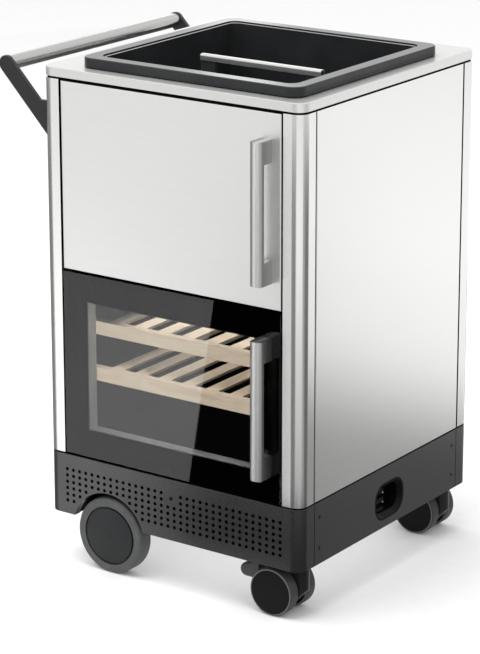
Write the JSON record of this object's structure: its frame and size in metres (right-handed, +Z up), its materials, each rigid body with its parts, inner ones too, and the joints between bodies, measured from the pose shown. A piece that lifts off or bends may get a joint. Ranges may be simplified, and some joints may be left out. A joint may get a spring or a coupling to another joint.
{
  "type": "outdoor bar cart",
  "caption": "Wheeled stainless outdoor bar cart with an ice tub in the worktop, a cupboard, a glass-door bottle fridge, a push bar and braked swivel castors.",
  "frame": {"origin": "on the floor under the middle of the cart's bounding box", "axes": "+X along the front from the push bar to the castors, +Y from the doors to the back, +Z up"},
  "size_m": [0.703, 0.631, 0.991],
  "materials": {
    "stainless": "satin",
    "handle_steel": "satin",
    "anthracite": "fine texture, matt",
    "dark_deck": "matt",
    "galvanised": "satin",
    "black_plastic": "matt",
    "liner_plastic": "matt",
    "core_plastic": "matt",
    "wheel_plastic": "satin",
    "grey_plastic": "satin",
    "tyre": "matt",
    "seal": "matt",
    "tinted_glass": "clear tinted",
    "aluminium": "satin",
    "pin_metal": "polished",
    "axle_steel": "turned",
    "pale_wood": "oiled"
  },
  "bodies": {
    "cabinet": {"base_plate": "galvanised", "plinth_front": "anthracite", "plinth_rear": "anthracite", "plinth_left": "anthracite", "plinth_right": "anthracite", "inlet_housing": "black_plastic", "inlet_pins": "pin_metal", "wheel_wells": "dark_deck", "wheel_axle": "axle_steel", "axle_brackets": "galvanised", "castor_sockets": "galvanised", "lower_deck": "dark_deck", "upper_deck": "dark_deck", "post_front_left": "stainless", "post_front_right": "stainless", "post_rear_left": "stainless", "post_rear_right": "stainless", "side_panel_left": "stainless", "side_panel_right": "stainless", "back_panel": "stainless", "panel_strips": "seal", "worktop": "stainless", "ice_tub": "black_plastic", "push_arm_front": "anthracite", "push_arm_rear": "anthracite", "push_bar": "handle_steel", "fridge_liner": "liner_plastic", "cupboard_liner": "liner_plastic", "evaporator_plate": "aluminium", "shelf_runners": "liner_plastic", "upper_shelf_rails": "pale_wood", "upper_shelf_slats": "pale_wood", "lower_shelf_rails": "pale_wood", "lower_shelf_slats": "pale_wood", "hinges": "axle_steel", "compressor": "dark_deck", "condenser": "aluminium", "fan_frame": "black_plastic", "control_box": "liner_plastic"},
    "upper_door": {"upper_door_skin": "stainless", "upper_door_core": "core_plastic", "upper_door_seal": "seal", "upper_door_handle": "handle_steel"},
    "glass_door": {"glass_pane": "tinted_glass", "glass_door_frame": "black_plastic", "glass_door_reveal": "aluminium", "glass_door_seal": "seal", "glass_door_handle": "handle_steel"},
    "divider": {"tub_divider": "black_plastic", "divider_grip": "handle_steel"},
    "front_wheel": {"front_wheel_hub": "wheel_plastic", "front_wheel_tyre": "tyre"},
    "rear_wheel": {"rear_wheel_hub": "wheel_plastic", "rear_wheel_tyre": "tyre"},
    "front_castor": {"front_castor_hood": "black_plastic"},
    "rear_castor": {"rear_castor_hood": "black_plastic"},
    "front_castor_rollers": {"front_castor_wheels": "wheel_plastic"},
    "rear_castor_rollers": {"rear_castor_wheels": "wheel_plastic"},
    "brake": {"brake_pedal": "grey_plastic"},
    "fan": {"fan_rotor": "black_plastic"}
  },
  "joints": [
    {"name": "upper_door_hinge", "type": "hinge", "parent": "cabinet", "child": "upper_door", "pos_m": [-0.173, -0.2715, 0.76875], "axis": [0, 0, -1], "range_deg": [0, 110]},
    {"name": "glass_door_hinge", "type": "hinge", "parent": "cabinet", "child": "glass_door", "pos_m": [-0.173, -0.2715, 0.40525], "axis": [0, 0, -1], "range_deg": [0, 110]},
    {"name": "divider_lift", "type": "slide", "parent": "cabinet", "child": "divider", "axis": [0, 0, 1], "range_m": [0, 0.17]},
    {"name": "front_wheel_spin", "type": "hinge", "parent": "cabinet", "child": "front_wheel", "pos_m": [-0.0865, -0.259, 0.075], "axis": [0, 1, 0], "continuous": true},
    {"name": "rear_wheel_spin", "type": "hinge", "parent": "cabinet", "child": "rear_wheel", "pos_m": [-0.0865, 0.296, 0.075], "axis": [0, 1, 0], "continuous": true},
    {"name": "front_castor_swivel", "type": "hinge", "parent": "cabinet", "child": "front_castor", "pos_m": [0.3115, -0.2305, 0.1], "axis": [0, 0, 1], "continuous": true},
    {"name": "rear_castor_swivel", "type": "hinge", "parent": "cabinet", "child": "rear_castor", "pos_m": [0.3115, 0.2675, 0.1], "axis": [0, 0, 1], "continuous": true},
    {"name": "front_castor_spin", "type": "hinge", "parent": "front_castor", "child": "front_castor_rollers", "pos_m": [0.2815, -0.2305, 0.046], "axis": [0, 1, 0], "continuous": true},
    {"name": "rear_castor_spin", "type": "hinge", "parent": "rear_castor", "child": "rear_castor_rollers", "pos_m": [0.2815, 0.2675, 0.046], "axis": [0, 1, 0], "continuous": true},
    {"name": "brake_press", "type": "hinge", "parent": "front_castor", "child": "brake", "pos_m": [0.2475, -0.2305, 0.066], "axis": [0, -1, 0], "range_deg": [0, 12]},
    {"name": "fan_spin", "type": "hinge", "parent": "cabinet", "child": "fan", "pos_m": [0.1465, -0.174, 0.151], "axis": [0, 1, 0], "continuous": true}
  ]
}
